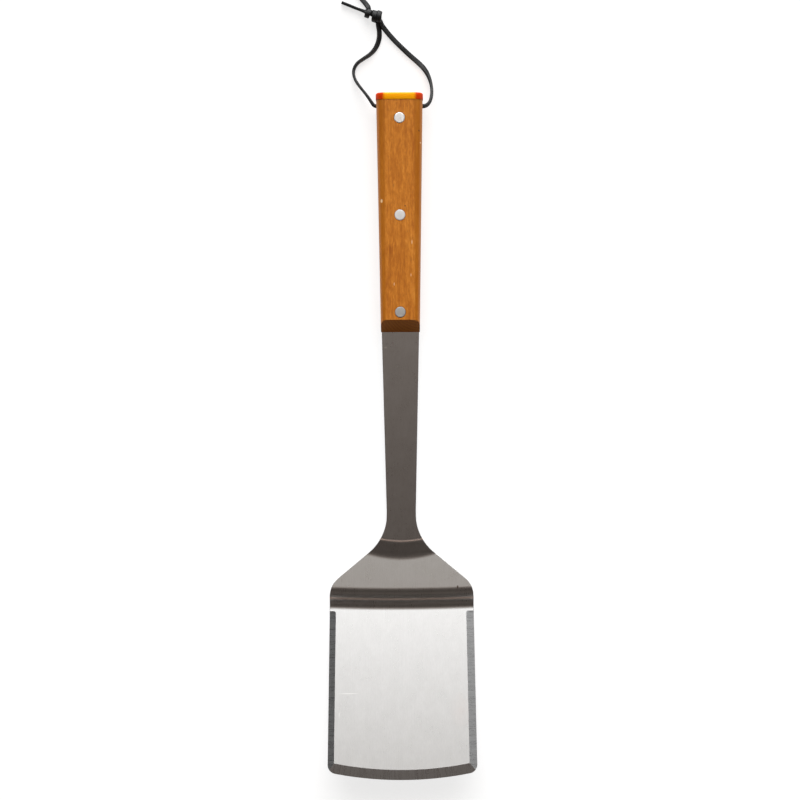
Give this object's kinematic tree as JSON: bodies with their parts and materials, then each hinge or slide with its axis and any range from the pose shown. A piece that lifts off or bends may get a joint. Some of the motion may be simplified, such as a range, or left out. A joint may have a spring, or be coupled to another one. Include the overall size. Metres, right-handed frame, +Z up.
{
  "type": "grill spatula",
  "caption": "Long-handled grill spatula: bent steel blade with ground edges, full tang in a riveted wooden handle, metal end cap and a leather hanging lace.",
  "frame": {"origin": "on the surface that the spatula lies on, under the middle of the rigid spatula's box; the lace isn't counted", "axes": "+Y along the tool from the blade's front edge to the handle's butt, +Z up out of the blade's lifting face, +X across the blade to the right seen from above with the handle away from the viewer"},
  "size_m": [0.1086, 0.5805, 0.0322],
  "materials": {
    "steel": "lengthwise brushed stainless steel",
    "rivet": "satin rivet heads",
    "wood": "oiled hardwood, closed grain",
    "cap": "orange anodised",
    "pin": "plain steel pin",
    "lace": "black flat leather lace"
  },
  "bodies": {
    "spatula": {"blade_plate": "steel", "front_scale": "wood", "back_scale": "wood", "end_cap": "cap", "cap_pin_front": "pin", "cap_pin_back": "pin", "rivet_tube_1": "rivet", "rivet_tube_2": "rivet", "rivet_tube_3": "rivet", "rivet_post_1": "rivet", "rivet_post_2": "rivet", "rivet_post_3": "rivet"},
    "lace": {"lace_through": "lace", "lace_left": "lace", "lace_right": "lace", "lace_knot": "lace", "lace_tail_left": "lace", "lace_tail_right": "lace"}
  },
  "joints": [
    {"name": "lace_swing", "type": "hinge", "parent": "spatula", "child": "lace", "pos_m": [0, 0.24064, 0.01372], "axis": [1, 0, 0], "range_deg": [-134, 170]}
  ]
}
